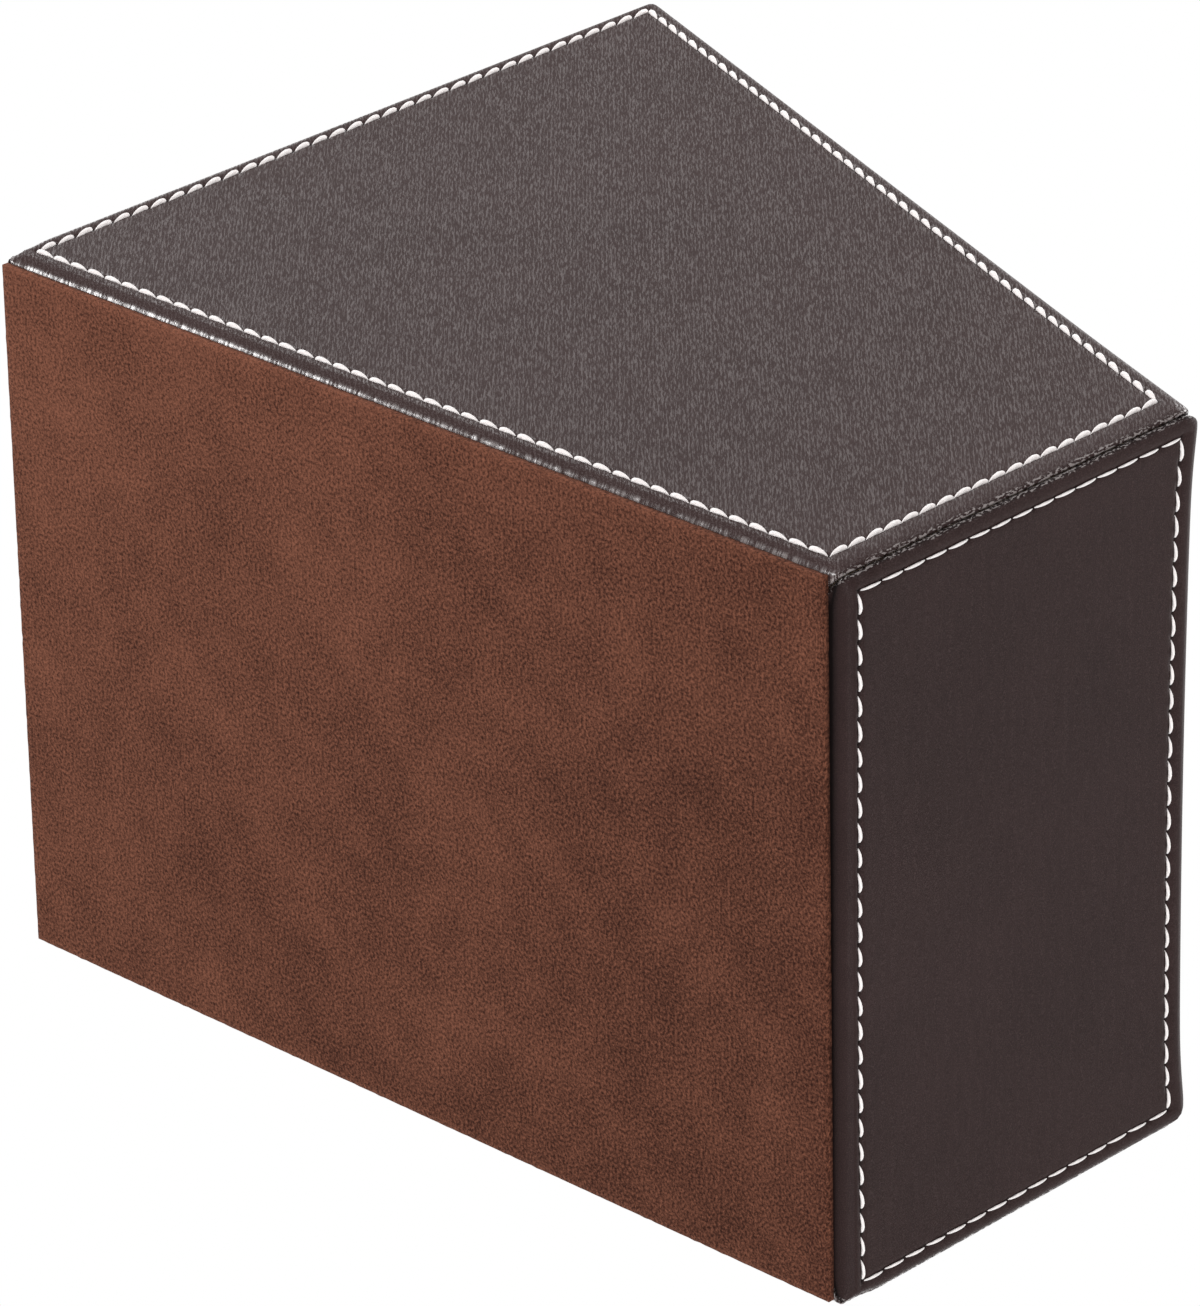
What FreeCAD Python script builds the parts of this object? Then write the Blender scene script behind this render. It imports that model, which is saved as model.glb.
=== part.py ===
import FreeCAD, Part
import math
import os

os.makedirs("parts", exist_ok=True)

# A remote control holder: a box of thin board with a sloped rim, covered in stitched leather,
# lined with suede, and parted into three compartments by two dividers.
# X runs left to right, Y front to back, Z up. The origin is at the middle of the underside.

# Overall sizes
width = 106.5
depth = 155.0
back_height = 131.3
front_height = 68.6
edge_round = 2.5

# Thicknesses of the sheets and boards
leather = 1.2
wall_board = 3.0
floor_board = 3.0
divider_board = 2.5
lining = 1.0
base_suede = 1.0

# Leather covers: hem turned down inside the rim, and open line of the mitred corner seams
hem = 10.0
hem_gap = 0.2
seam_gap = 0.3

# Sewn channel of the covers, by its distance from each edge of the panel
channel_width = 1.4
channel_depth = 0.4
side_channel_from_rim = 3.4
side_channel_from_back = 3.7
side_channel_from_base = 3.1
side_channel_from_front = 5.1
end_channel_from_rim = 3.5
end_channel_from_side = 3.5
end_channel_from_base = 2.5

# Stitches that lie in the channel: thread, pitch along each kind of row, and slant across the row
thread = 0.75
side_stitch_pitch = 3.43
across_stitch_pitch = 3.54
upright_stitch_pitch = 4.1
stitch_slant_degrees = 6
stitch_length_share = 0.84
stitch_shoulder_share = 0.55

# Dividers: how far their tops lie under the hem, and their housing grooves in the side boards
divider_below_hem = 4.0
divider_groove = 1.0
divider_clearance = 0.15
fold_round = 1.5
compartment_names = ("front", "middle", "rear")
divider_names = ("front", "rear")

# Suede base pad, by its distance from the outer faces
pad_from_side = 1.4
pad_from_front = 2.6
pad_from_back = 1.6

# Cutting overrun, measuring tolerance, and limits of the rounding
overrun = 5.0
tolerance = 0.01
least_board_round = 0.3
wall_round_share = 0.48

# Values worked out from the sizes above
half_width = width / 2
half_depth = depth / 2
slope = math.atan2(back_height - front_height, depth)
wall = leather + wall_board + leather
edge_radius = min(edge_round, wall_round_share * wall)
board_radius = max(edge_radius - leather, least_board_round)
board_arris = (2 - math.sqrt(2)) * board_radius
to_board = leather
to_cavity = leather + wall_board
to_lining_face = leather + wall_board + lining
body_bottom = base_suede
board_bottom = body_bottom + leather
floor_top = board_bottom + floor_board
divider = divider_board + 2 * lining
fold_radius = min(fold_round, wall_round_share * divider)
dividers_depth = len(divider_names) * divider
compartment = (depth - 2 * to_lining_face - dividers_depth) / len(compartment_names)
point = FreeCAD.Vector


def rim_at(y, inset):
    """Height, at depth y, of a plane parallel to the sloped rim and inset below it."""
    rise = (back_height - front_height) * (y + half_depth) / depth
    return front_height + rise - inset / math.cos(slope)


def block(left, right, front, back, bottom, top):
    """Plain box between the given planes."""
    return Part.makeBox(right - left, back - front, top - bottom, point(left, front, bottom))


def sloped_block(left, right, front, back, bottom, rim_inset):
    """Box between the given planes, under a plane parallel to the sloped rim."""
    corners = [
        point(left, front, bottom),
        point(left, back, bottom),
        point(left, back, rim_at(back, rim_inset)),
        point(left, front, rim_at(front, rim_inset)),
    ]
    profile = Part.Face(Part.makePolygon(corners + corners[:1]))
    return profile.extrude(point(right - left, 0, 0))


def inset_block(inset, bottom, rim_inset):
    """Sloped block that lies the same distance inside all four outer faces."""
    side = half_width - inset
    end = half_depth - inset
    return sloped_block(-side, side, -end, end, bottom, rim_inset)


def upright_slab(corners):
    """Slab over a plan outline, from the ground to above the rim."""
    outline = [point(x, y, 0) for x, y in corners]
    plan = Part.Face(Part.makePolygon(outline + outline[:1]))
    return plan.extrude(point(0, 0, back_height + overrun))


def edges_at(solid, on_line):
    """Edges whose ends all pass a test."""
    return [edge for edge in solid.Edges if all(on_line(end.Point) for end in edge.Vertexes)]


def on_plane(place, rim_inset):
    """True for a point on a plane parallel to the rim."""
    return abs(place.z - rim_at(place.y, rim_inset)) < tolerance


def within(place, inset):
    """True for a point that lies at least this far inside all four outer faces, within tolerance."""
    side_reach = half_width - inset + tolerance
    end_reach = half_depth - inset + tolerance
    return abs(place.x) < side_reach and abs(place.y) < end_reach


def mirrored(solid):
    """The same piece for the right side."""
    return solid.mirror(point(0, 0, 0), point(1, 0, 0))


# Forms that the leather lies between: its rounded outer face, and the boards with their arrises off
outer_block = inset_block(0, body_bottom, 0)
outer_form = outer_block.makeFillet(edge_radius, outer_block.Edges)
board_block = inset_block(to_board, board_bottom, leather)
board_form = board_block.makeChamfer(board_arris, board_block.Edges)
square_ring = board_form.cut(inset_block(to_cavity, 0, -overrun))
inner_rim = edges_at(square_ring, lambda place: on_plane(place, leather) and within(place, to_cavity))
board_ring = square_ring.makeChamfer(board_arris, inner_rim)
below_hem = inset_block(to_cavity, board_bottom, hem)


def side_room():
    """Room of the left cover: the wall's width, round at the inner rim and mitred at both corners."""
    mitre = seam_gap / math.sqrt(2)
    outside = half_width + overrun
    inside = half_width - wall
    end = half_depth + overrun
    room = sloped_block(-outside, -inside, -end, end, 0, 0)
    rim_edges = edges_at(room, lambda place: on_plane(place, 0) and abs(place.x + inside) < tolerance)
    slab = upright_slab([
        (-outside, -end + mitre),
        (-inside, -half_depth + wall + mitre),
        (-inside, half_depth - wall - mitre),
        (-outside, end - mitre),
    ])
    return room.makeFillet(edge_radius, rim_edges).common(slab)


def end_room(end):
    """Room of the front (end -1) or back (end 1) cover, made as the left cover's is."""
    mitre = seam_gap / math.sqrt(2)
    side = half_width + overrun
    outside = end * (half_depth + overrun)
    inside = end * (half_depth - wall)
    room = sloped_block(-side, side, *sorted([outside, inside]), 0, 0)
    rim_edges = edges_at(room, lambda place: on_plane(place, 0) and abs(place.y - inside) < tolerance)
    slab = upright_slab([
        (-side + mitre, outside),
        (side - mitre, outside),
        (half_width - wall - mitre, inside),
        (-half_width + wall + mitre, inside),
    ])
    return room.makeFillet(edge_radius, rim_edges).common(slab)


def cover(room, channel):
    """Leather of one wall: outside, over the rounded rim, down to its hem and under the base."""
    return outer_form.common(room).cut(board_ring).cut(below_hem).cut(channel)


# Middle of the sewn channel on each panel
side_row_front = -half_depth + side_channel_from_front
side_row_back = half_depth - side_channel_from_back
side_row_bottom = body_bottom + side_channel_from_base
end_row_side = half_width - end_channel_from_side
end_row_bottom = body_bottom + end_channel_from_base


def side_channel():
    """Sewn channel round the left panel, which follows the sloped rim."""
    def outline(grow):
        return sloped_block(
            -half_width - overrun,
            -half_width + channel_depth,
            side_row_front - grow,
            side_row_back + grow,
            side_row_bottom - grow,
            side_channel_from_rim - grow,
        )
    return outline(channel_width / 2).cut(outline(-channel_width / 2))


def end_channel(end, height):
    """Sewn channel round the front or back panel."""
    planes = sorted([end * (half_depth + overrun), end * (half_depth - channel_depth)])

    def outline(grow):
        side = end_row_side + grow
        top = height - end_channel_from_rim + grow
        return block(-side, side, *planes, end_row_bottom - grow, top)
    return outline(channel_width / 2).cut(outline(-channel_width / 2))


def stitch_row(start, finish, outward, pitch):
    """Row of slanted stitches between two corners of a channel's floor."""
    along = (finish - start).normalize()
    sewn = start.distanceToPoint(finish) - thread
    count = max(1, round(sewn / pitch))
    step = sewn / count
    half = step * stitch_length_share / 2
    shoulder = thread * stitch_shoulder_share
    arch = [
        point(-half, -thread / 2, 0),
        point(half, -thread / 2, 0),
        point(half, -thread / 2, shoulder),
        point(half - shoulder, -thread / 2, thread),
        point(-half + shoulder, -thread / 2, thread),
        point(-half, -thread / 2, shoulder),
    ]
    stitch = Part.Face(Part.makePolygon(arch + arch[:1])).extrude(point(0, thread, 0))
    turn = FreeCAD.Rotation(along, outward.cross(along), outward, "ZXY")
    turn = turn.multiply(FreeCAD.Rotation(point(0, 0, 1), stitch_slant_degrees))
    row = []
    for number in range(count):
        place = start + along * (thread / 2 + step * (number + 1 / 2))
        row.append(stitch.copy())
        row[-1].Placement = FreeCAD.Placement(place, turn)
    return row


def stitching(corners, outward, pitches):
    """Stitches all round a panel, from its corners in order and the pitch of each row."""
    following = corners[1:] + corners[:1]
    rows = zip(corners, following, pitches)
    return Part.makeCompound(
        [stitch for start, finish, pitch in rows for stitch in stitch_row(start, finish, outward, pitch)])


def side_stitching():
    floor = -half_width + channel_depth
    corners = [
        point(floor, side_row_front, side_row_bottom),
        point(floor, side_row_back, side_row_bottom),
        point(floor, side_row_back, rim_at(side_row_back, side_channel_from_rim)),
        point(floor, side_row_front, rim_at(side_row_front, side_channel_from_rim)),
    ]
    return stitching(corners, point(-1, 0, 0), [side_stitch_pitch] * len(corners))


def end_stitching(end, height):
    floor = end * (half_depth - channel_depth)
    top = height - end_channel_from_rim
    corners = [
        point(-end_row_side, floor, end_row_bottom),
        point(end_row_side, floor, end_row_bottom),
        point(end_row_side, floor, top),
        point(-end_row_side, floor, top),
    ]
    pitches = [across_stitch_pitch, upright_stitch_pitch] * 2
    return stitching(corners, point(0, end, 0), pitches)


def divider_front(number):
    """Depth of a divider's front face, counted from 1 at the front."""
    return -half_depth + to_lining_face + number * compartment + (number - 1) * divider


def divider_top(number):
    """Top of a divider's board, which stays clear of the leather's hem."""
    return rim_at(divider_front(number), hem) - divider_below_hem


def divider_core(number, reach, clearance):
    """Room of a divider's board, with clearance all round and a reach to each side."""
    front = divider_front(number) + lining
    return block(
        -reach,
        reach,
        front - clearance,
        front + divider_board + clearance,
        floor_top,
        divider_top(number) + clearance,
    )


def divider_wrap(number):
    """Suede folded over both faces and the top of a divider."""
    side = half_width - to_lining_face
    front = divider_front(number)
    top = divider_top(number) + lining
    folded = block(-side, side, front, front + divider, floor_top, top)
    top_edges = edges_at(folded, lambda place: abs(place.z - top) < tolerance)
    along = [edge for edge in top_edges if edge.Length > divider + tolerance]
    return folded.makeFillet(fold_radius, along).cut(divider_core(number, half_width, 0))


def side_board():
    """Left board, full depth, with a housing groove for each divider."""
    board = board_ring.common(block(
        -half_width, -half_width + to_cavity, -half_depth, half_depth, 0, back_height))
    reach = half_width - to_cavity + divider_groove
    for number in range(1, len(compartment_names)):
        board = board.cut(divider_core(number, reach, divider_clearance))
    return board


def side_lining():
    """Left lining, up to the leather's hem, slit where the dividers pass through."""
    end = half_depth - to_cavity
    sheet = sloped_block(
        -half_width + to_cavity, -half_width + to_lining_face, -end, end, floor_top, hem + hem_gap)
    for number in range(1, len(compartment_names)):
        sheet = sheet.cut(divider_core(number, half_width, divider_clearance))
    return sheet


def end_board(end):
    """Front or back board, butted between the side boards."""
    side = half_width - to_cavity
    planes = sorted([end * half_depth, end * (half_depth - to_cavity)])
    return board_ring.common(block(-side, side, *planes, 0, back_height))


def end_lining(end):
    """Lining of the front or back wall, between the side linings."""
    side = half_width - to_lining_face
    planes = sorted([end * (half_depth - to_cavity), end * (half_depth - to_lining_face)])
    return sloped_block(-side, side, *planes, floor_top, hem + hem_gap)


def floor_pad(number):
    """Suede floor of one compartment, counted from 1 at the front."""
    side = half_width - to_lining_face
    front = divider_front(number) - compartment
    return block(-side, side, front, front + compartment, floor_top, floor_top + lining)


def base_board():
    side = half_width - to_cavity
    end = half_depth - to_cavity
    return block(-side, side, -end, end, board_bottom, floor_top)


def base_card():
    """Card that fills the underside between the turned-under edges of the leather."""
    side = half_width - wall
    end = half_depth - wall
    return block(-side, side, -end, end, body_bottom, board_bottom)


def base_pad():
    """Suede sheet under the whole base, cut a little short of the leather faces."""
    side = half_width - pad_from_side
    return block(-side, side, -half_depth + pad_from_front, half_depth - pad_from_back, 0, base_suede)


left_cover = cover(side_room(), side_channel())
pieces = {
    "left_cover": left_cover,
    "right_cover": mirrored(left_cover),
    "front_cover": cover(end_room(-1), end_channel(-1, front_height)),
    "back_cover": cover(end_room(1), end_channel(1, back_height)),
    "left_stitching": side_stitching(),
    "right_stitching": mirrored(side_stitching()),
    "front_stitching": end_stitching(-1, front_height),
    "back_stitching": end_stitching(1, back_height),
    "left_board": side_board(),
    "right_board": mirrored(side_board()),
    "front_board": end_board(-1),
    "back_board": end_board(1),
    "base_board": base_board(),
    "base_card": base_card(),
    "base_pad": base_pad(),
    "left_lining": side_lining(),
    "right_lining": mirrored(side_lining()),
    "front_lining": end_lining(-1),
    "back_lining": end_lining(1),
}
for number, place in enumerate(compartment_names, start=1):
    pieces[f"{place}_floor_pad"] = floor_pad(number)
for number, place in enumerate(divider_names, start=1):
    board_reach = half_width - to_cavity + divider_groove - divider_clearance
    pieces[f"{place}_divider_board"] = divider_core(number, board_reach, 0)
    pieces[f"{place}_divider_cover"] = divider_wrap(number)

for name, shape in pieces.items():
    shape.exportStep(f"parts/{name}.step")
    print(name, "valid" if shape.isValid() else "invalid", len(shape.Solids), round(shape.Volume, 1))
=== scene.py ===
import math
import random

import bmesh
import bpy
from mathutils import Matrix, Vector, noise


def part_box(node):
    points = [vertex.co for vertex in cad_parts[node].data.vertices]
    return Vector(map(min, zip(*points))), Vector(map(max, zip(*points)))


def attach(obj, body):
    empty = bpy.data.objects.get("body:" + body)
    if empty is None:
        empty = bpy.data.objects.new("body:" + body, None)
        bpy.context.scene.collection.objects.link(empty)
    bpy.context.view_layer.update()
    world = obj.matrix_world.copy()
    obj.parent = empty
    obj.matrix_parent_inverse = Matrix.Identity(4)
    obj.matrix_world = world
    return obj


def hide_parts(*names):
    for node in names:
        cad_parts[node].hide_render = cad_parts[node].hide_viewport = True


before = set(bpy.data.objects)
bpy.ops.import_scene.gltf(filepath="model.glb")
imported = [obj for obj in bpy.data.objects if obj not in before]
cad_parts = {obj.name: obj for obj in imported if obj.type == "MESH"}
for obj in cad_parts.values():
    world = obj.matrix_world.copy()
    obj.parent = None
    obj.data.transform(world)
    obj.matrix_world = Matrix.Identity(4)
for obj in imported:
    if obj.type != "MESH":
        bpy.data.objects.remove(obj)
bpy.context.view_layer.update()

mm = 0.001
up = Vector((0, 0, 1))
hand = random.Random(11)

# The holder's sizes, in metres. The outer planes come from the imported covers.
half_width = -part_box("left_cover")[0].x
half_depth = -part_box("front_cover")[0].y
leather_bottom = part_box("left_cover")[0].z
wall = half_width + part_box("left_cover")[1].x
back_height = 131.3 * mm
front_height = 68.6 * mm
slope = math.atan2(back_height - front_height, 2 * half_depth)
hem = 10.0 * mm
edge_round = 2.5 * mm
edge_segments = 8
front_fold = 1.2 * mm
leather = 0.9 * mm
seam_gap = 0.12 * mm
lining = 1.0 * mm
fold_round = 1.5 * mm

# The sewing: how far each row lies from the panel's edges, and how long its stitches are. A base row has a
# first and a last distance. Its drift says how late it goes from one to the other: 1 is a straight row.
side_row = {
    "rim": 3.4 * mm, "base": (2.35 * mm, 3.4 * mm), "start": 5.1 * mm, "end": 3.7 * mm, "drift": 1,
}
end_row = {
    "rim": 2.95 * mm, "base": (2.5 * mm, 3.35 * mm), "start": 3.5 * mm, "end": 3.5 * mm, "drift": 4,
}
side_pitch = {"rim": 3.43 * mm, "base": 3.43 * mm, "start": 3.43 * mm, "end": 3.43 * mm}
end_pitch = {"rim": 3.54 * mm, "base": 3.54 * mm, "start": 4.1 * mm, "end": 4.1 * mm}
# Each row's stitches: the share of the pitch that one covers, its width, how deep its ends dive, how much it
# leans in the panel, how far its far end stands up, and how blunt that end is. Lengths are in millimetres.
side_sewing = {
    "base": {"cover": 0.92, "width": 0.74, "dive": 0.34, "lean": 0.05, "tilt": 0.14, "blunt": 0.25},
    "rim": {"cover": 0.93, "width": 0.82, "dive": 0.34, "lean": -0.09, "tilt": 0.10, "blunt": 0.30},
    "start": {"cover": 0.98, "width": 0.80, "dive": 0.30, "lean": 0.03, "tilt": 0.11, "blunt": 0.26},
    "end": {"cover": 0.98, "width": 0.78, "dive": 0.30, "lean": 0.12, "tilt": 0.11, "blunt": 0.26},
}
end_sewing = {
    "base": {"cover": 0.88, "width": 0.54, "dive": 0.42, "lean": 0.09, "tilt": 0.06, "blunt": 0.38},
    "rim": {"cover": 0.92, "width": 0.54, "dive": 0.42, "lean": 0.04, "tilt": 0.06, "blunt": 0.38},
    "start": {"cover": 0.93, "width": 0.44, "dive": 0.16, "lean": 0.0, "tilt": 0.03, "blunt": 0.5},
    "end": {"cover": 0.93, "width": 0.44, "dive": 0.16, "lean": -0.02, "tilt": 0.03, "blunt": 0.5},
}
# How much one stitch may differ from the next, and the form that all of them share.
unsteady = {"lean": 0.03, "tilt": 0.03, "width": 0.06, "cover": 0.03}
stitch_sides = 7
stitch_rings = 8
stitch_plump = 0.92
stitch_proud = 0.03 * mm
dive_bend = 2.6

# The covers' mesh: the worked margin inside a row, the loops beside rows and seams, and their steps.
flat_within = 1.6 * mm
row_loops = [0.0, 0.3 * mm, 0.6 * mm, 1.0 * mm]
seam_loops = [0.2 * mm, 0.45 * mm, 0.8 * mm]
stitch_cuts = 8
upright_step = 0.4 * mm
base_step = 0.3 * mm
cut_tolerance = 0.001 * mm
merge_within = 0.01 * mm
parallel = 0.999
long_edge = 0.3

# How far the leather sinks or stands proud, in millimetres, and how wide each such form is.
seam_dip, seam_dip_width = 0.28, 0.35 * mm
seam_pucker, seam_pucker_width = 0.03, 1.2 * mm
edge_pucker, edge_pucker_width = 0.05, 1.1 * mm
groove_dip, groove_width, groove_reach = 0.25, 0.42 * mm, 1.8 * mm
hole_dip, hole_width = 0.25, 0.3 * mm
pillow, pillow_width, pillow_from_row = 0.09, 0.6 * mm, 1.3 * mm

# The suede: the cells of each sheet, how uneven a glued sheet is, and how the base sheet was cut.
side_cells = (60, 44)
end_cells = (40, 40)
floor_cells = (40, 20)
wrap_cells = (40, 90)
base_cells = (105, 152)
suede_ripple, ripple_length = 0.04 * mm, 9 * mm
base_wave, base_wave_length = 0.12 * mm, 1.3 * mm
base_askew = (0.5 * mm, -0.35 * mm, 0.0, 0.35 * mm)
lip_within = 0.5 * mm

# Which way the leather's grain lies on the sides.
grain_along = (0.0, 0.69, 0.725)
grain_across = (0.0, 0.725, -0.69)

# The stage.
floor_half = 3.0
floor_drop = 0.4 * mm
soft_surround = 0.65
lamp_aim = Vector((0, 0, 55 * mm))


def rim_height(y):
    """Height of the sloping rim plane at a depth."""
    return front_height + (y + half_depth) * math.tan(slope)


class Panel:
    """One leather panel: where it faces, which way it runs, and where its rows are sewn."""

    def __init__(self, name, out, run, face, reach, row, pitch, sewing):
        self.name = name
        self.out = Vector(out)
        self.run = Vector(run)
        self.face = face
        self.reach = reach
        self.row = row
        self.pitch = pitch
        self.sewing = sewing
        self.sloping = abs(self.run.y) > 0.5
        self.rim_run = self.run.copy()
        if self.sloping:
            self.rim_run = self.run * math.cos(slope) + up * math.sin(slope)
        self.rim_up = self.rim_run.cross(self.out)
        if self.rim_up.z < 0:
            self.rim_up.negate()
        low = -reach + row["start"]
        high = reach - row["end"]
        self.corners = {
            "start_base": self.place(low, self.base_row(low)),
            "end_base": self.place(high, self.base_row(high)),
            "end_rim": self.place(high, self.rim_row(high)),
            "start_rim": self.place(low, self.rim_row(low)),
        }
        self.base_top = max(self.base_row(low), self.base_row(high)) + flat_within
        self.rows = {
            "base": ("start_base", "end_base"),
            "rim": ("start_rim", "end_rim"),
            "start": ("start_base", "start_rim"),
            "end": ("end_base", "end_rim"),
        }

    def place(self, along, height):
        """A place on the panel's outer plane."""
        return self.out * self.face + self.run * along + up * height

    def rim_row(self, along):
        """Height of the rim's row of sewing."""
        if self.sloping:
            return rim_height(along) - self.row["rim"] / math.cos(slope)
        return rim_height(self.out.y * half_depth) - self.row["rim"]

    def base_row(self, along):
        """Height of the base's row of sewing, which was not sewn quite level."""
        share = (along / self.reach + 1) / 2
        first, last = self.row["base"]
        return leather_bottom + first + (last - first) * share ** self.row["drift"]

    def inside(self, p):
        """How far a place lies inside each of the four rows."""
        along = p.dot(self.run)
        fall = math.cos(slope) if self.sloping else 1.0
        return {
            "rim": (self.rim_row(along) - p.z) * fall,
            "base": p.z - self.base_row(along),
            "start": along + self.reach - self.row["start"],
            "end": self.reach - self.row["end"] - along,
        }

    def ends(self, row):
        """The two corners that a row runs between."""
        first, last = self.rows[row]
        return self.corners[first], self.corners[last]

    def stitches(self, row):
        """How many stitches a row has."""
        first, last = self.ends(row)
        return max(2, round((last - first).length / self.pitch[row]))

    def depth(self, p):
        """Depth below the panel's outer plane."""
        return self.face - p.dot(self.out)

    def from_seam(self, p):
        """Distance to the nearer corner seam, as measured along the face."""
        return self.reach - abs(p.dot(self.run)) - self.depth(p)


panels = [
    Panel("left", (-1, 0, 0), (0, 1, 0), half_width, half_depth, side_row, side_pitch, side_sewing),
    Panel("right", (1, 0, 0), (0, 1, 0), half_width, half_depth, side_row, side_pitch, side_sewing),
    Panel("front", (0, -1, 0), (1, 0, 0), half_depth, half_width, end_row, end_pitch, end_sewing),
    Panel("back", (0, 1, 0), (1, 0, 0), half_depth, half_width, end_row, end_pitch, end_sewing),
]


class Wire:
    """One socket of a finish. Arithmetic on it adds Math nodes."""

    def __init__(self, finish, socket):
        self.finish = finish
        self.socket = socket

    def maths(self, operation, *values):
        return self.finish.node("ShaderNodeMath", {"operation": operation}, dict(enumerate(values)))

    def __add__(self, other):
        return self.maths("ADD", self, other)

    def __sub__(self, other):
        return self.maths("SUBTRACT", self, other)

    def __rsub__(self, other):
        return self.maths("SUBTRACT", other, self)

    def __mul__(self, other):
        return self.maths("MULTIPLY", self, other)

    __radd__ = __add__
    __rmul__ = __mul__

    def sine(self):
        return self.maths("SINE", self)


class Finish:
    """The nodes of a material, or of the surround."""

    def __init__(self, owner):
        self.owner = owner
        owner.use_nodes = True
        self.tree = owner.node_tree
        self.tree.nodes.clear()

    def node(self, kind, settings, sockets, output=0):
        made = self.tree.nodes.new(kind)
        for name, value in settings.items():
            setattr(made, name, value)
        for name, value in sockets.items():
            if isinstance(value, Wire):
                self.tree.links.new(value.socket, made.inputs[name])
            else:
                made.inputs[name].default_value = value
        return Wire(self, made.outputs[output])

    def place(self):
        """Object coordinates in millimetres."""
        metres = self.node("ShaderNodeTexCoord", {}, {}, "Object")
        return self.node("ShaderNodeVectorMath", {"operation": "SCALE"}, {0: metres, "Scale": 1000.0})

    def dot(self, place, direction):
        """How far a place lies along a direction."""
        settings = {"operation": "DOT_PRODUCT"}
        return self.node("ShaderNodeVectorMath", settings, {0: place, 1: direction}, "Value")

    def stretch(self, place, scales):
        settings = {"operation": "MULTIPLY"}
        return self.node("ShaderNodeVectorMath", settings, {0: place, 1: scales})

    def combine(self, x, y, z):
        return self.node("ShaderNodeCombineXYZ", {}, {0: x, 1: y, 2: z})

    def grain(self, place, per_mm, detail=2.0, rough=0.5):
        sockets = {"Vector": place, "Scale": per_mm, "Detail": detail, "Roughness": rough}
        return self.node("ShaderNodeTexNoise", {}, sockets)

    def cells(self, place, per_mm):
        return self.node("ShaderNodeTexVoronoi", {}, {"Vector": place, "Scale": per_mm}, "Distance")

    def ease(self, value, low, high, to_low=0.0, to_high=1.0):
        sockets = {0: value, 1: low, 2: high, 3: to_low, 4: to_high}
        return self.node("ShaderNodeMapRange", {"interpolation_type": "SMOOTHSTEP"}, sockets)

    def blend(self, factor, a, b):
        settings = {"data_type": "RGBA"}
        return self.node("ShaderNodeMix", settings, {0: factor, 6: a, 7: b}, 2)

    def mark(self, name):
        """A number that the mesh carries at each vertex."""
        return self.node("ShaderNodeAttribute", {"attribute_name": name}, {}, "Fac")

    def bump(self, height, depth_mm):
        return self.node("ShaderNodeBump", {}, {"Height": height, "Distance": depth_mm * mm})

    def surface(self, sockets):
        return self.node("ShaderNodeBsdfPrincipled", {}, sockets)

    def close(self, shader, kind="ShaderNodeOutputMaterial"):
        """Ends the nodes in their output, and gives back what they belong to."""
        end = self.tree.nodes.new(kind)
        self.tree.links.new(shader.socket, end.inputs["Surface"])
        return self.owner


def srgb(red, green, blue):
    """A colour as it is read off a screen, 0 to 255, made linear."""
    linear = []
    for value in (red, green, blue):
        share = value / 255
        linear.append(share / 12.92 if share <= 0.04045 else ((share + 0.055) / 1.055) ** 2.4)
    return (*linear, 1.0)


def grained_leather(name, run, dark, light, furrow, gloss, sheen):
    """Dark brown leather: a fine grain of shiny streaks, crinkled at its seams and its base edge, with
    painted highlights on those crinkles and painted shade near the seams, in the needle holes, under the
    folded base edge and in the seam crack.
    """
    f = Finish(bpy.data.materials.new(name))
    place = f.place()
    along = f.dot(place, grain_along)
    across = f.dot(place, grain_across)
    through = f.dot(place, (1.0, 0.0, 0.0))
    height = f.dot(place, (0.0, 0.0, 1.0))
    level = f.dot(place, run)
    streaks = f.grain(f.combine(across * 8.5, along * 0.66, through * 8.5), 1.0, 2.0, 0.5)
    bands = f.grain(f.combine(across * 0.25, along * 1.4, through * 0.25), 1.0, 2.0, 0.5)
    pores = f.cells(f.combine(across * 2.2, along * 0.8, through * 2.2), 1.0)
    clouds = f.grain(place, 0.045, 2.0)
    crinkles = f.grain(f.stretch(place, (3.6, 3.6, 1.5)), 1.0, 2.0)
    creases = f.grain(f.combine(level * 2.2, height * 0.4, 0.0), 1.0, 3.0, 0.7)
    seam = f.mark("seam")
    edge = f.mark("edge")
    hole_and_painted_shade = f.mark("hole_and_painted_shade")
    bend = f.grain(f.combine(across * 0.9, along * 0.9, through * 0.9), 1.0, 2.0)
    furrows = (across * 11.4 + bend * 9.0).sine()
    fleck = f.ease(streaks + furrows * furrow, 0.45, 0.67)
    # Painted shade: near the seams the leather's colour falls to its dark tone, and its coat sheen fades.
    plain = 1.0 - f.ease(seam, 0.2, 0.7)
    hide = f.blend((fleck * 0.5 + bands * 0.2 + clouds * 0.3) * plain, dark, light)
    # Painted highlights: the crinkles beside the seams and the creases on the base edge are painted light
    # grey, and the crinkles also get a glossy coat.
    crinkle_highlight = f.ease(seam, 0.2, 0.5) * f.ease(crinkles + seam * 0.14, 0.595, 0.68)
    crease_highlight = edge * f.ease(creases, 0.48, 0.6)
    painted_highlight_grey = srgb(150, 140, 138)
    # Near black painted shade for the needle holes, the folded base edge and the seam crack.
    painted_shade_dark = srgb(10, 8, 8)
    with_painted_highlights = f.blend(crinkle_highlight * 0.7 + crease_highlight * 0.4, hide, painted_highlight_grey)
    # The painted shade is blended into the colour, and the coat is taken off where it lies.
    with_painted_shade = f.blend(hole_and_painted_shade, with_painted_highlights, painted_shade_dark)
    shine = fleck * plain * sheen + crinkle_highlight * 0.8 + edge * f.ease(creases, 0.42, 0.58, 0.05, 1.0)
    open_shine = shine * (1.0 - hole_and_painted_shade)
    relief = streaks * 0.025 + pores * 0.008 + crinkles * seam * 0.3 + creases * edge * 0.15
    return f.close(f.surface({
        "Base Color": with_painted_shade,
        "Roughness": 0.42 + streaks * 0.16,
        "Specular IOR Level": gloss,
        "Coat Weight": open_shine,
        "Coat Roughness": 0.2,
        "Normal": f.bump(relief, 1.0),
    }))


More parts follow.
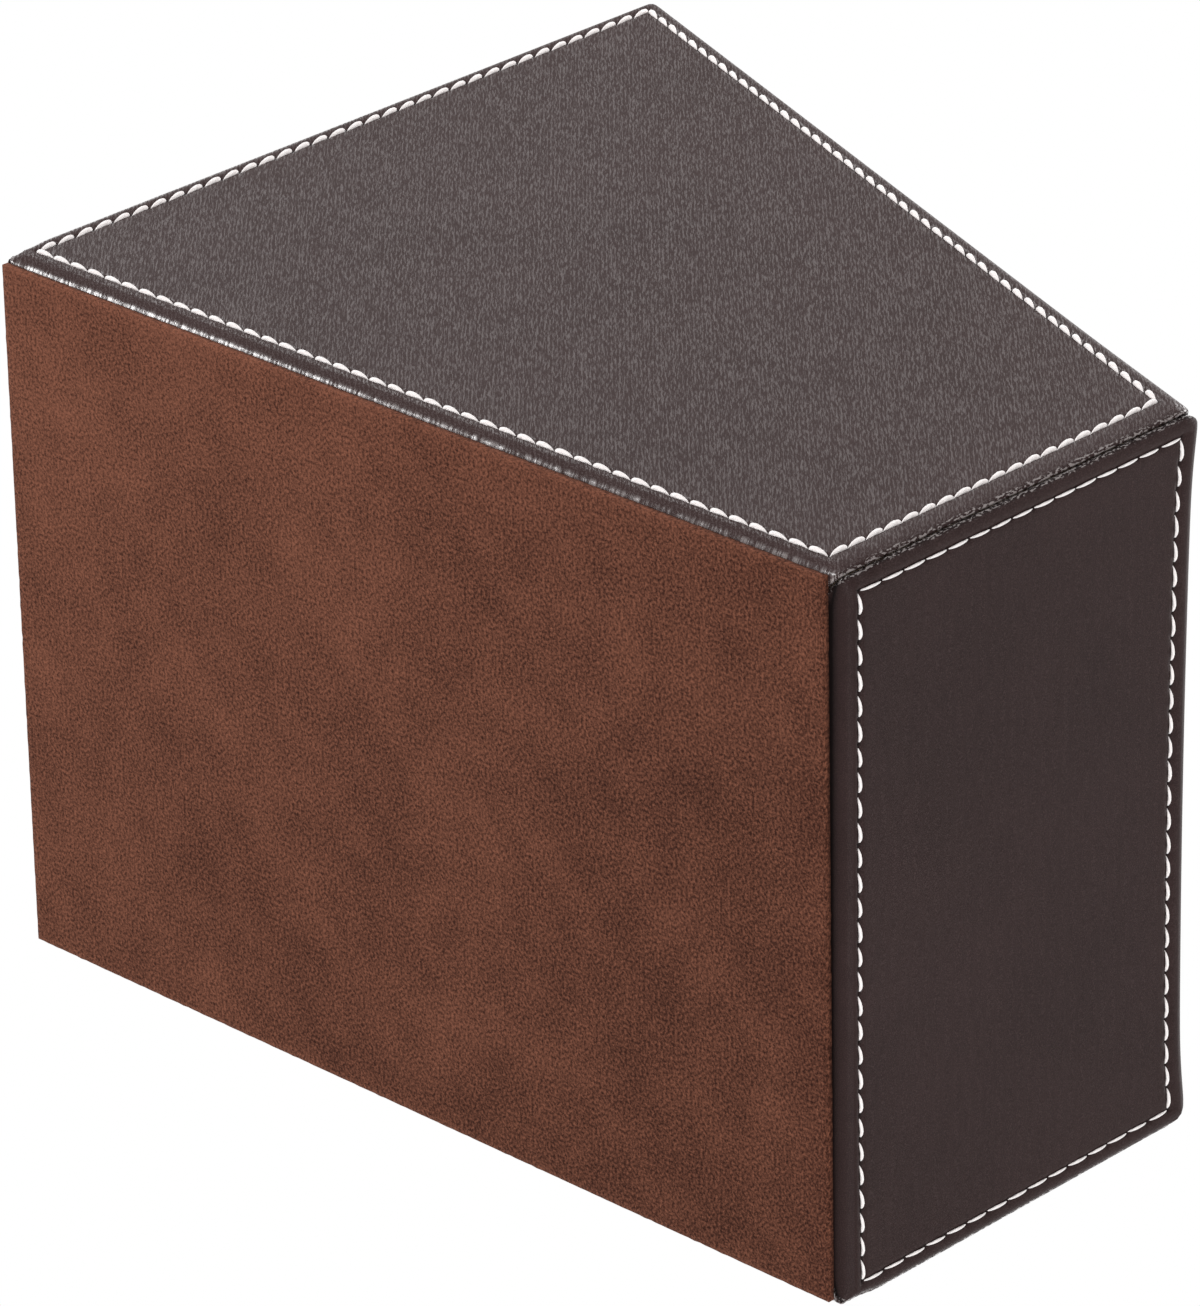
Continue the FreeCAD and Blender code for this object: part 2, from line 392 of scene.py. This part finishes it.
def napped_suede(name, dark, light, painted_light_way):
    """Brushed suede: a fine fuzzy nap and cloudy hand marks, with painted light that makes it lighter
    towards one side.
    """
    f = Finish(bpy.data.materials.new(name))
    place = f.place()
    nap = f.grain(place, 2.3, 3.0, 0.66)
    fibres = f.grain(place, 5.0, 2.0, 0.7)
    marks = f.grain(place, 0.16, 3.0, 0.6)
    clouds = f.grain(place, 0.04, 2.0)
    # Painted light: the suede is made lighter along a given way, as if lit from there.
    painted_light_ramp = f.dot(place, painted_light_way) * 0.0009
    lip = f.mark("lip") * 0.12
    tone = nap * 1.85 + fibres * 0.5 + marks * 0.24 + clouds * 0.3 + painted_light_ramp + lip - 1.02
    soft = f.blend(f.ease(tone, 0.0, 1.0), dark, light)
    return f.close(f.surface({
        "Base Color": soft,
        "Roughness": 0.86 + fibres * 0.12,
        "Specular IOR Level": 0.12,
        "Sheen Weight": 0.1,
        "Sheen Roughness": 0.5,
        "Sheen Tint": light,
        "Normal": f.bump(nap * 0.6 + fibres * 0.4, 0.05),
    }))


def waxed_thread():
    """White waxed thread, two plies twisted together."""
    f = Finish(bpy.data.materials.new("waxed_thread"))
    place = f.place()
    lie = f.node("ShaderNodeUVMap", {"uv_map": "lie"}, {})
    around = f.node("ShaderNodeSeparateXYZ", {}, {0: lie}, "X")
    along = f.node("ShaderNodeSeparateXYZ", {}, {0: lie}, "Y")
    turns = around * 2.0 + along * 3.0
    ply = (turns * (2 * math.pi)).sine()
    fuzz = f.grain(place, 9.0, 2.0)
    tone = f.ease(fuzz, 0.3, 0.7) * 0.5 + ply * 0.2 + 0.3
    colour = f.blend(tone, srgb(240, 231, 229), srgb(255, 250, 248))
    return f.close(f.surface({
        "Base Color": colour,
        "Roughness": 0.55 + fuzz * 0.2,
        "Specular IOR Level": 0.3,
        "Sheen Weight": 0.6,
        "Sheen Roughness": 0.4,
        "Sheen Tint": (1, 1, 1, 1),
        "Normal": f.bump(ply * 0.4 + fuzz * 0.6, 0.07),
    }))


def raw_board(name, dark, light):
    """Pressed fibre, as board or card."""
    f = Finish(bpy.data.materials.new(name))
    place = f.place()
    fibre = f.grain(place, 1.6, 4.0, 0.7)
    flecks = f.cells(place, 0.9)
    colour = f.blend(f.ease(fibre, 0.3, 0.7) * 0.7 + flecks * 0.3, dark, light)
    return f.close(f.surface({
        "Base Color": colour,
        "Roughness": 0.8 + fibre * 0.15,
        "Specular IOR Level": 0.2,
        "Normal": f.bump(fibre, 0.08),
    }))


def pale_floor():
    """A pale table top that is only seen from above."""
    f = Finish(bpy.data.materials.new("pale_floor"))
    place = f.place()
    paper = f.grain(place, 0.02, 2.0)
    top = f.surface({
        "Base Color": f.blend(paper, (0.84, 0.84, 0.84, 1), (0.88, 0.88, 0.88, 1)),
        "Roughness": 0.9,
        "Specular IOR Level": 0.1,
    })
    clear = f.node("ShaderNodeBsdfTransparent", {}, {})
    below = f.node("ShaderNodeNewGeometry", {}, {}, "Backfacing")
    return f.close(f.node("ShaderNodeMixShader", {}, {0: below, 1: top, 2: clear}))


suede_dark = srgb(40, 16, 9)
suede_light = srgb(132, 83, 64)
# Lit and shaded copies of one leather: the side covers are painted lighter and glossier, and the front and
# back covers are painted darker.
side_leather_painted_lit = grained_leather(
    "side_leather_painted_lit", (0, 1, 0), srgb(48, 35, 34), srgb(72, 57, 56), furrow=0.06, gloss=0.045, sheen=0.62
)
end_leather = grained_leather(
    "end_leather", (1, 0, 0), srgb(30, 20, 19), srgb(64, 48, 47), furrow=0.0, gloss=0.05, sheen=0.16
)
# The last vector gives the way towards which painted light makes each suede lighter.
base_nap = napped_suede("base_nap", suede_dark, suede_light, (-0.85, 0.83, 0.0))
lining_nap = napped_suede("lining_nap", suede_dark, suede_light, (0.0, 0.2, 0.6))
thread_white = waxed_thread()
fibreboard = raw_board("fibreboard", srgb(132, 104, 76), srgb(184, 154, 120))
grey_card = raw_board("grey_card", srgb(120, 112, 102), srgb(166, 158, 148))


def put(name, data):
    """Adds an object to the scene."""
    made = bpy.data.objects.new(name, data)
    bpy.context.scene.collection.objects.link(made)
    return made


def to_mesh(name, bm, material):
    """Turns a finished bmesh into a mesh of one material."""
    mesh = bpy.data.meshes.new(name)
    bm.to_mesh(mesh)
    bm.free()
    mesh.materials.append(material)
    return mesh


def lay_down(name, bm, material, node):
    """Makes a finished piece of a bmesh, which stands for a CAD node."""
    mesh = to_mesh(name, bm, material)
    mesh.shade_smooth()
    piece = put(name, mesh)
    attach(piece, "root")
    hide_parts(node)
    return piece


def give_thickness(piece, thickness):
    """Thickens a skin behind its face."""
    layer = piece.modifiers.new("thickness", "SOLIDIFY")
    layer.thickness = thickness
    layer.offset = -1.0
    layer.use_even_offset = False


def cut(bm, place, facing, drop_beyond=False):
    """Cuts the whole mesh with a plane, and may drop what lies beyond it."""
    whole = bm.verts[:] + bm.edges[:] + bm.faces[:]
    bmesh.ops.bisect_plane(
        bm, geom=whole, dist=cut_tolerance, plane_co=place, plane_no=facing, clear_outer=drop_beyond
    )


def leather_shell():
    """The four covers in one: a box with a sloping rim, a hem inside and a turned-under edge."""
    bm = bmesh.new()
    bmesh.ops.create_cube(bm, size=1.0)
    for v in bm.verts:
        low = v.co.z < 0
        v.co.x = math.copysign(half_width, v.co.x)
        v.co.y = math.copysign(half_depth, v.co.y)
        v.co.z = leather_bottom if low else rim_height(v.co.y)
    bm.normal_update()
    top = max(bm.faces, key=lambda face: face.normal.z)
    bottom = min(bm.faces, key=lambda face: face.normal.z)
    rounded = bm.edges[:]
    bmesh.ops.inset_region(bm, faces=[top], thickness=wall, use_even_offset=True)
    for v in top.verts:
        v.co.x = math.copysign(half_width - wall, v.co.x)
        v.co.y = math.copysign(half_depth - wall, v.co.y)
        v.co.z = rim_height(v.co.y)
    rounded += top.edges[:]
    sunk = bmesh.ops.extrude_face_region(bm, geom=[top])
    floor_of_hem = [g for g in sunk["geom"] if isinstance(g, bmesh.types.BMFace)]
    for v in floor_of_hem[0].verts:
        v.co.z -= hem / math.cos(slope)
    bmesh.ops.delete(bm, geom=floor_of_hem, context="FACES_ONLY")
    if top.is_valid:
        bmesh.ops.delete(bm, geom=[top], context="FACES_ONLY")
    bmesh.ops.inset_region(bm, faces=[bottom], thickness=wall, use_even_offset=True)
    bmesh.ops.delete(bm, geom=[bottom], context="FACES_ONLY")
    rounded = [e for e in rounded if e.is_valid and len(e.link_faces) == 2]
    bmesh.ops.bevel(
        bm, geom=rounded, affect="EDGES", offset=edge_round, offset_type="OFFSET",
        segments=edge_segments, profile=0.5, material=-1, clamp_overlap=False,
    )
    bmesh.ops.remove_doubles(bm, verts=bm.verts[:], dist=cut_tolerance)
    bm.normal_update()
    return bm


def cut_out_panel(shell, panel):
    """One cover, mitred at its corners, with loops along its rows of sewing and its seams."""
    bm = shell.copy()
    for other in panels:
        if abs(other.out.dot(panel.out)) > 0.5:
            continue
        mitre = (other.out - panel.out).normalized()
        corner = panel.out * panel.face + other.out * other.face
        cut(bm, corner - mitre * (seam_gap / 2), mitre, drop_beyond=True)
        for back in seam_loops:
            cut(bm, corner - mitre * (seam_gap / 2 + back), mitre)
    low, high = (end.z for end in panel.ends("base"))
    lowest = min(low, high) - row_loops[-1]
    steps = math.ceil((panel.base_top - lowest) / base_step)
    for i in range(steps + 1):
        cut(bm, up * (lowest + (panel.base_top - lowest) * i / steps), up)
    for row, facing in (("rim", panel.rim_up), ("start", -panel.run), ("end", panel.run)):
        first = panel.ends(row)[0]
        cut(bm, first - facing * flat_within, facing)
        to_rounding = panel.row[row] - edge_round
        for loop in row_loops:
            cut(bm, first - facing * loop, facing)
            if loop:
                cut(bm, first + facing * min(loop, to_rounding), facing)
    bmesh.ops.remove_doubles(bm, verts=bm.verts[:], dist=merge_within)
    subdivide_margins(bm, panel)
    return bm


def subdivide_margins(bm, panel):
    """Adds cross loops where the leather is sewn and creased, and leaves the middle plain."""
    length = 2 * panel.reach - panel.row["start"] - panel.row["end"] - 2 * flat_within
    near = flat_within + merge_within
    base, rim = [], []
    upright = {"start": [], "end": []}
    for e in bm.edges:
        span = e.verts[1].co - e.verts[0].co
        if span.length < long_edge * length:
            continue
        way = span.normalized()
        centre = (e.verts[0].co + e.verts[1].co) / 2
        inside = panel.inside(centre)
        if abs(way.z) > parallel:
            for side in upright:
                if inside[side] < near:
                    upright[side].append(e)
        elif abs(way.dot(panel.run)) > parallel and centre.z < panel.base_top + near - flat_within:
            base.append(e)
        elif abs(way.dot(panel.rim_run)) > parallel:
            if inside["rim"] < near or panel.depth(centre) > edge_round:
                rim.append(e)
    for row, edges in (("base", base), ("rim", rim)):
        cuts = panel.stitches(row) * stitch_cuts - 1
        bmesh.ops.subdivide_edges(bm, edges=edges, cuts=cuts, use_grid_fill=True)
    for side, edges in upright.items():
        first, last = panel.ends(side)
        cuts = round((last - first).length / upright_step)
        bmesh.ops.subdivide_edges(bm, edges=edges, cuts=cuts, use_grid_fill=True)


def hump(distance, width):
    """A smooth bump, 1 in its middle."""
    return math.exp(-((distance / width) ** 2))


def crease(along, away, seed):
    """Short creases that run across a seam or an edge."""
    fine = noise.noise(Vector((along / (0.75 * mm), away / (4.0 * mm), seed)))
    coarse = noise.noise(Vector((along / (2.2 * mm), away / (6.0 * mm), seed + 9.0)))
    return 0.65 * fine + 0.35 * coarse


def standing(panel, p, seed):
    """How far the leather stands proud of its plain form, how near a seam or edge it is, and where shade is
    painted: in the needle holes, under the folded base edge and in the seam crack.
    """
    seam = max(panel.from_seam(p), 0.0)
    on_face = panel.depth(p) < 0.75 * edge_round
    bottom_edge = hump(p.z - leather_bottom - 0.5 * mm, edge_pucker_width)
    turned_in = min(1.0, max(0.0, (panel.depth(p) - 0.75 * mm) / (0.4 * mm)))
    shiny = turned_in * bottom_edge if panel.sloping else 0.0
    along = p.dot(panel.run)
    hole_and_painted_shade = 0.0
    rise = -seam_dip * hump(seam, seam_dip_width)
    rise += seam_pucker * hump(seam, seam_pucker_width) * crease(p.z, seam, seed)
    rise += edge_pucker * bottom_edge * crease(along, p.z, seed + 3.0)
    if on_face:
        inside = panel.inside(p)
        row = min(inside, key=inside.get)
        across = inside[row]
        if across > -groove_reach:
            first, last = panel.ends(row)
            span = last - first
            step = span.length / panel.stitches(row)
            from_first = (p - first).dot(span.normalized()) / step
            to_hole = (from_first - round(from_first)) * step
            # Each needle hole sinks the leather and is also painted dark, as painted shade.
            hole_and_painted_shade = hump(across, hole_width) * hump(to_hole, hole_width)
            rise -= groove_dip * hump(across, groove_width)
            rise -= hole_dip * hole_and_painted_shade
        rise += pillow * hump(across + pillow_from_row, pillow_width)
    # Painted shade under the folded base edge of the front and back covers, where they turn in above the
    # suede.
    fold_shade = 0.0
    if not panel.sloping and p.z < leather_bottom + edge_round:
        past_fold = panel.depth(p) - edge_round
        fold_shade = 0.72 * hump(past_fold, 0.45 * mm) + 0.2 * hump(past_fold, 1.3 * mm)
    crinkled = hump(seam, (1.1 if panel.sloping else 0.9) * mm)
    # Painted shade: the needle holes, the fold under the base edge and a thin line along the seam crack are
    # painted near black.
    dark = max(hole_and_painted_shade, fold_shade, 0.8 * hump(seam, 0.18 * mm))
    return rise * mm, {"seam": crinkled, "edge": shiny, "hole_and_painted_shade": dark}


def rim_lift(panel, p):
    """The rim is not straight: it dips along the front and stands up towards its front corners."""
    if panel.name == "back":
        return Vector((0, 0, 0))
    from_rim = max(0.0, panel.inside(p)["rim"] + panel.row["rim"])
    if panel.sloping:
        rise = 0.14 + 0.35 * hump(p.y + half_depth, 18 * mm)
        return panel.rim_up * (rise * mm * hump(from_rim, 2.5 * mm))
    across = p.x / half_width
    open_seam = 1 - hump(panel.from_seam(p), 1.3 * mm)
    dip = -0.8 * max(0.0, 1 - across * across) * hump(from_rim, 12 * mm)
    roll = 0.3 * hump(from_rim, 1.7 * mm)
    ear = 0.95 * open_seam * hump(half_width - abs(p.x), 8 * mm) * hump(from_rim, 7 * mm)
    return up * ((dip + roll + ear) * mm)


def tighten(panel, p, normal):
    """The front rim is folded tighter, its right edge flares, and the base corners are fuller."""
    move = Vector((0, 0, 0))
    seam = max(panel.from_seam(p), 0.0)
    if panel.name == "front" and panel.depth(p) < edge_round and normal.z > 0.05:
        free = (edge_round - front_fold) * (1 - hump(seam, 0.8 * mm))
        move += panel.out * (free * (1 - normal.dot(panel.out))) + up * (free * (1 - normal.z))
    if p.x > 0 and p.y < 0:
        move.x += 0.3 * mm * p.z / front_height * hump(seam, 4 * mm)
    corner = Vector((math.copysign(1, p.x), math.copysign(1, p.y), 0))
    above = p.z - leather_bottom
    full = 0.8 * hump(above, 0.9 * mm) - 0.35 * hump(above - 3.2 * mm, 2.3 * mm)
    return move + corner * (full * mm * hump(seam, 1.8 * mm))


def make_cover(shell, panel, seed):
    """One leather cover, worked where it is sewn, creased and folded."""
    bm = cut_out_panel(shell, panel)
    bm.normal_update()
    marks = {name: bm.verts.layers.float.new(name) for name in ("seam", "edge", "hole_and_painted_shade")}
    moves = []
    for v in bm.verts:
        rise, amounts = standing(panel, v.co, seed)
        for name, layer in marks.items():
            v[layer] = amounts[name]
        moves.append(v.normal * rise + rim_lift(panel, v.co) + tighten(panel, v.co, v.normal))
    for v, move in zip(bm.verts, moves):
        v.co += move
    # The sides take the copy painted lighter, and the front and back take the copy painted darker.
    skin = side_leather_painted_lit if panel.sloping else end_leather
    piece = lay_down(panel.name + "_leather", bm, skin, panel.name + "_cover")
    give_thickness(piece, leather)


def add_stitch(bm, centre, along, out, length, style):
    """One stitch: plump, pointed where it starts, blunt where it ends, diving into its holes."""
    side = out.cross(along)
    width = style["width"] * mm
    blunt = style["blunt"]
    made = bmesh.ops.create_uvsphere(
        bm, u_segments=stitch_sides, v_segments=stitch_rings, radius=1.0, calc_uvs=True
    )
    for v in made["verts"]:
        t = max(-1.0, min(1.0, v.co.z))
        ring = math.hypot(v.co.x, v.co.y)
        plump = stitch_plump * (1 - t) ** blunt * (1 + t) ** (1 - blunt)
        spread = plump / ring if ring > 1e-6 else 0.0
        proud = stitch_proud - style["dive"] * mm * abs(t) ** dive_bend + style["tilt"] * mm * t
        v.co = (
            centre
            + along * (t * length / 2)
            + side * (v.co.x * spread * width / 2 + style["lean"] * t * length / 2)
            + out * (v.co.y * spread * width / 2 + proud)
        )


def sew(panel):
    """The row of stitches round one panel, no two quite alike."""
    bm = bmesh.new()
    bm.loops.layers.uv.new("lie")
    for row in panel.rows:
        first, last = panel.ends(row)
        span = last - first
        count = panel.stitches(row)
        step = span.length / count
        along = span.normalized()
        for i in range(count):
            style = dict(panel.sewing[row])
            style["lean"] += unsteady["lean"] * hand.uniform(-1, 1)
            style["tilt"] += unsteady["tilt"] * hand.uniform(-1, 1)
            style["width"] *= 1 + unsteady["width"] * hand.uniform(-1, 1)
            centre = first + along * (step * (i + 0.5))
            if row == "base":
                centre.z = panel.base_row(centre.dot(panel.run))
            centre = centre + rim_lift(panel, centre)
            length = step * (style["cover"] + unsteady["cover"] * hand.uniform(-1, 1))
            add_stitch(bm, centre, along, panel.out, length, style)
    lay_down(panel.name + "_thread", bm, thread_white, panel.name + "_stitching")


def suede_grid(bm, corners, steps):
    """A grid of cells laid between four corners, its face towards the reader of their order."""
    bmesh.ops.create_grid(bm, x_segments=steps[0], y_segments=steps[1], size=1.0)
    for v in bm.verts:
        s = (v.co.x + 1) / 2
        t = (v.co.y + 1) / 2
        low = corners[0].lerp(corners[1], s)
        high = corners[3].lerp(corners[2], s)
        v.co = low.lerp(high, t)


def lay_suede(name, node, corners, steps):
    """A glued sheet of suede with its cut edges, and its slight unevenness."""
    bm = bmesh.new()
    suede_grid(bm, corners, steps)
    bm.normal_update()
    for v in bm.verts:
        shift = noise.noise(v.co / ripple_length) * suede_ripple
        v.co += v.normal * (shift - suede_ripple)
    piece = lay_down(name, bm, lining_nap, node)
    give_thickness(piece, lining)


def line_compartments():
    """The suede inside: four walls, three floors and the wrapped dividers."""
    for side, sign in (("left", 1), ("right", -1)):
        low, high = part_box(side + "_lining")
        x = high.x if sign > 0 else low.x
        drop = rim_height(high.y) - high.z
        near, far = (low.y, high.y) if sign > 0 else (high.y, low.y)
        corners = [
            Vector((x, near, low.z)),
            Vector((x, far, low.z)),
            Vector((x, far, rim_height(far) - drop)),
            Vector((x, near, rim_height(near) - drop)),
        ]
        lay_suede(side + "_lining_sheet", side + "_lining", corners, side_cells)
    for side, sign in (("front", 1), ("back", -1)):
        low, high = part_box(side + "_lining")
        y = high.y if sign > 0 else low.y
        near, far = (high.x, low.x) if sign > 0 else (low.x, high.x)
        corners = [Vector((near, y, low.z)), Vector((far, y, low.z)), Vector((far, y, high.z)),
                   Vector((near, y, high.z))]
        lay_suede(side + "_lining_sheet", side + "_lining", corners, end_cells)
    for part in ("front", "middle", "rear"):
        node = part + "_floor_pad"
        low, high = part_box(node)
        corners = [Vector((low.x, low.y, high.z)), Vector((high.x, low.y, high.z)),
                   Vector((high.x, high.y, high.z)), Vector((low.x, high.y, high.z))]
        lay_suede(part + "_floor_sheet", node, corners, floor_cells)
    for part in ("front", "rear"):
        wrap_divider(part)


def wrap_divider(part):
    """A suede sheet folded over the top of a divider board and glued down both its faces."""
    node = part + "_divider_cover"
    low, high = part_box(node)
    tall = high.z - low.z
    thick = high.y - low.y
    straight = tall - fold_round
    quarter = fold_round * math.pi / 2
    across = thick - 2 * fold_round
    path = 2 * straight + 2 * quarter + across
    bm = bmesh.new()
    bmesh.ops.create_grid(bm, x_segments=wrap_cells[0], y_segments=wrap_cells[1], size=1.0)
    for v in bm.verts:
        x = low.x + (v.co.x + 1) / 2 * (high.x - low.x)
        s = (v.co.y + 1) / 2 * path
        mirror = s > path / 2
        s = path - s if mirror else s
        if s < straight:
            y, z = 0.0, s
        elif s < straight + quarter:
            turn = (s - straight) / fold_round
            y, z = fold_round * (1 - math.cos(turn)), straight + fold_round * math.sin(turn)
        else:
            y, z = fold_round + s - straight - quarter, tall
        y = thick - y if mirror else y
        v.co = Vector((x, low.y + y, low.z + z))
    piece = lay_down(part + "_divider_wrap", bm, lining_nap, node)
    give_thickness(piece, lining)


def lay_base():
    """The suede sheet under the base, cut by hand, so that its edges are not quite straight."""
    low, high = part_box("base_pad")
    square = ((low.x, low.y), (high.x, low.y), (high.x, high.y), (low.x, high.y))
    corners = [Vector((x, y + slip, high.z)) for (x, y), slip in zip(square, base_askew)]
    bm = bmesh.new()
    suede_grid(bm, corners, base_cells)
    lip = bm.verts.layers.float.new("lip")
    for v in bm.verts:
        if v.is_boundary:
            v[lip] = 1.0 if abs(v.co.x) > high.x - lip_within else 0.0
            v.co.x += noise.noise(Vector((v.co.y / base_wave_length, 4.0, 0.0))) * base_wave
            v.co.y += noise.noise(Vector((v.co.x / base_wave_length, 8.0, 0.0))) * base_wave
    piece = lay_down("base_suede_sheet", bm, base_nap, "base_pad")
    give_thickness(piece, high.z - low.z)


def paint_boards():
    """The boards and the card stay as the CAD made them."""
    for name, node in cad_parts.items():
        if name.endswith("_board"):
            finish = fibreboard
        elif name == "base_card":
            finish = grey_card
        else:
            continue
        node.data.materials.clear()
        node.data.materials.append(finish)


def light(name, towards, distance, size, share):
    """A square lamp that gives a face turned to it a share of full light."""
    way = Vector(towards).normalized()
    data = bpy.data.lights.new(name, "AREA")
    data.shape = "SQUARE"
    data.size = size
    data.energy = share * (math.pi * distance) ** 2
    lamp = put(name, data)
    lamp.location = lamp_aim + way * distance
    lamp.rotation_mode = "QUATERNION"
    lamp.rotation_quaternion = way.to_track_quat("Z", "Y")
    lamp.visible_camera = False


def white_surround():
    """White where it is seen or mirrored, and softer where it only lights."""
    f = Finish(bpy.data.worlds.new("surround"))
    seen = f.node("ShaderNodeLightPath", {}, {}, "Is Camera Ray")
    mirrored = f.node("ShaderNodeLightPath", {}, {}, "Is Glossy Ray")
    through = f.node("ShaderNodeLightPath", {}, {}, "Is Transmission Ray")
    shown = seen.maths("MAXIMUM", seen.maths("MAXIMUM", seen, mirrored), through)
    white = (1, 1, 1, 1)
    soft = f.node("ShaderNodeBackground", {}, {"Color": white, "Strength": soft_surround})
    bright = f.node("ShaderNodeBackground", {}, {"Color": white, "Strength": 1.0})
    mixed = f.node("ShaderNodeMixShader", {}, {0: shown, 1: soft, 2: bright})
    return f.close(mixed, "ShaderNodeOutputWorld")


def set_stage():
    """A pale floor, a white surround and soft lamps."""
    bm = bmesh.new()
    bmesh.ops.create_grid(bm, x_segments=2, y_segments=2, size=floor_half)
    bmesh.ops.translate(bm, verts=bm.verts[:], vec=(0, 0, -floor_drop))
    floor = put("floor", to_mesh("floor", bm, pale_floor()))
    floor.visible_shadow = False
    floor.visible_diffuse = False
    floor.visible_glossy = False
    floor.visible_transmission = False
    bpy.context.scene.world = white_surround()
    light("key", (-0.6, 0.7, 0.25), 2.0, 1.17, 0.32)
    light("top_left", (-0.35, 0.0, 0.95), 0.5, 0.3, 0.55)
    light("low_left", (-0.367, 0.687, -0.628), 0.626, 0.13, 0.32)
    light("above", (0.15, -0.2, 1.0), 1.2, 0.8, 0.25)
    light("right_fill", (0.9, 0.3, 0.4), 1.2, 0.8, 0.25)
    light("back_fill", (0.2, 0.95, 0.4), 1.2, 0.8, 0.25)
    light("front_fill", (0.6, -0.7, -0.3), 1.2, 0.8, 0.35)
    light("low_front", (-0.4, -0.6, -0.7), 1.25, 0.8, 0.35)


def set_camera():
    """The photographed view: the holder lies on its right side, seen from below and the front left."""
    focal_px, frame_tall = 7726, 1306
    right = Vector((0.01397, -0.72479, 0.68882))
    above = Vector((-0.90097, 0.28964, 0.32304))
    back = Vector((-0.43365, -0.62513, -0.64897))
    data = bpy.data.cameras.new("photo_camera")
    data.sensor_width = 36.0
    data.lens = focal_px / frame_tall * data.sensor_width
    camera = put("photo_camera", data)
    turn = Matrix((right, above, back)).transposed().to_4x4()
    aim = Vector((0.0, 6.16 * mm, 43.55 * mm))
    away = 1060.43 * mm
    camera.matrix_world = Matrix.Translation(aim + back * away) @ turn
    bpy.context.scene.camera = camera


set_camera()
bpy.context.scene.view_settings.view_transform = "Standard"
shell = leather_shell()
for seed, panel in enumerate(panels):
    make_cover(shell, panel, 10.0 * seed)
    sew(panel)
shell.free()
line_compartments()
lay_base()
paint_boards()
set_stage()
